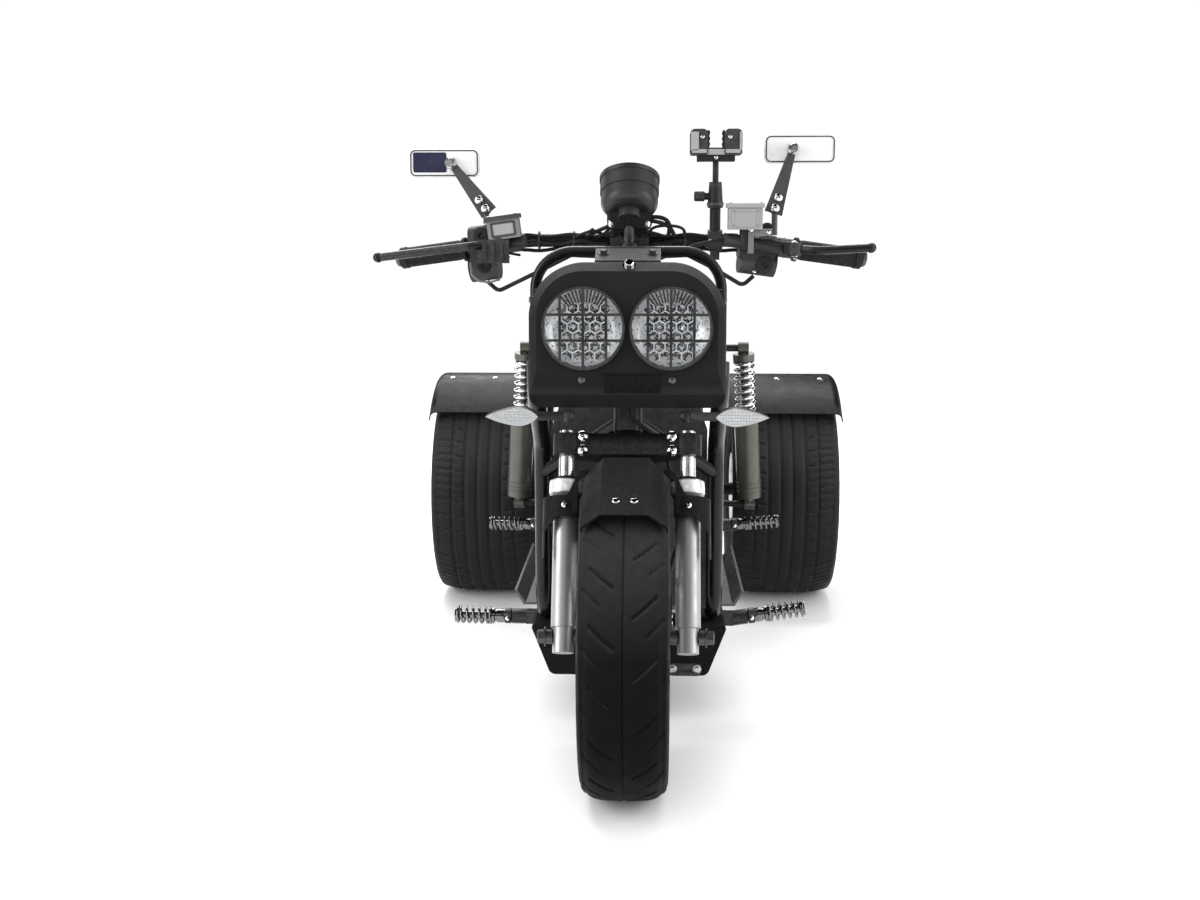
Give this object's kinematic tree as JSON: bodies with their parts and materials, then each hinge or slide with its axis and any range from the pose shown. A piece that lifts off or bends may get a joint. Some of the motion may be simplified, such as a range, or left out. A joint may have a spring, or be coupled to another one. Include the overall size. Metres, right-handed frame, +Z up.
{
  "type": "motorized trike",
  "caption": "Step-through motor trike with a tube frame, raked front fork, twin round headlamps, springy foot pegs, bench seat and wide rear wheels under arched fenders.",
  "frame": {"origin": "on the ground, under the middle of the overall length and width", "axes": "+X to the rider's left, +Y to the rear, +Z up; the front wheel is at -Y"},
  "size_m": [0.944, 1.8431, 1.0214],
  "materials": {
    "alloy": "cast",
    "black_paint": "gloss",
    "black_plastic": "grained",
    "chrome": "polished",
    "clear_plastic": "clear",
    "gloss_plastic": "gloss",
    "red_plastic": "gloss",
    "rubber": "matt",
    "silver_paint": "satin",
    "steel": "machined",
    "tyre": "matt",
    "vinyl": "matt"
  },
  "bodies": {
    "chassis": {"frame_front": "black_paint", "frame_seat": "black_paint", "leg_panel": "black_paint", "headlight_shell": "gloss_plastic", "headlight_bowls": "chrome", "headlight_lenses": "clear_plastic", "headlight_guards": "black_paint", "front_signal_arms": "black_plastic", "front_signal_lenses": "clear_plastic", "floor_tray": "black_paint", "belly_box": "black_plastic", "peg_mounts": "black_paint", "foot_pegs": "chrome", "seat": "vinyl", "fuel_tank": "black_plastic", "engine": "alloy", "drive_case": "alloy", "rear_axle": "black_paint", "shock_bodies": "steel", "shock_springs": "chrome", "exhaust": "steel", "rear_fenders": "gloss_plastic", "tail_rack": "black_paint", "tail_lamp": "red_plastic", "plate_bracket": "black_paint", "rear_signals": "clear_plastic"},
    "steering": {"fork_yoke": "black_paint", "stanchions": "chrome", "fork_legs": "silver_paint", "front_axle": "steel", "front_fender": "gloss_plastic", "caliper": "black_paint", "handlebar": "black_paint", "bar_clamp": "black_paint", "grips": "rubber", "switch_housings": "black_plastic", "master_cylinders": "black_plastic", "brake_levers": "black_paint", "mirrors": "black_plastic", "gauge_pod": "gloss_plastic", "phone_holder": "black_plastic", "control_lines": "rubber"},
    "front_wheel": {"front_tyre": "tyre", "front_rim": "alloy", "brake_disc": "steel"},
    "rear_wheel_left": {"rear_tyre_left": "tyre", "rear_rim_left": "alloy"},
    "rear_wheel_right": {"rear_tyre_right": "tyre", "rear_rim_right": "alloy"}
  },
  "joints": [
    {"name": "steering_turn", "type": "hinge", "parent": "chassis", "child": "steering", "pos_m": [0, -0.47796, 0.6383], "axis": [0, 0.3907, 0.9205], "range_deg": [-32, 32]},
    {"name": "front_wheel_spin", "type": "hinge", "parent": "steering", "child": "front_wheel", "pos_m": [0, -0.6775, 0.245], "axis": [1, 0, 0], "continuous": true},
    {"name": "rear_wheel_left_spin", "type": "hinge", "parent": "chassis", "child": "rear_wheel_left", "pos_m": [0.341, 0.6125, 0.248], "axis": [1, 0, 0], "continuous": true},
    {"name": "rear_wheel_right_spin", "type": "hinge", "parent": "chassis", "child": "rear_wheel_right", "pos_m": [-0.341, 0.6125, 0.248], "axis": [1, 0, 0], "continuous": true}
  ]
}
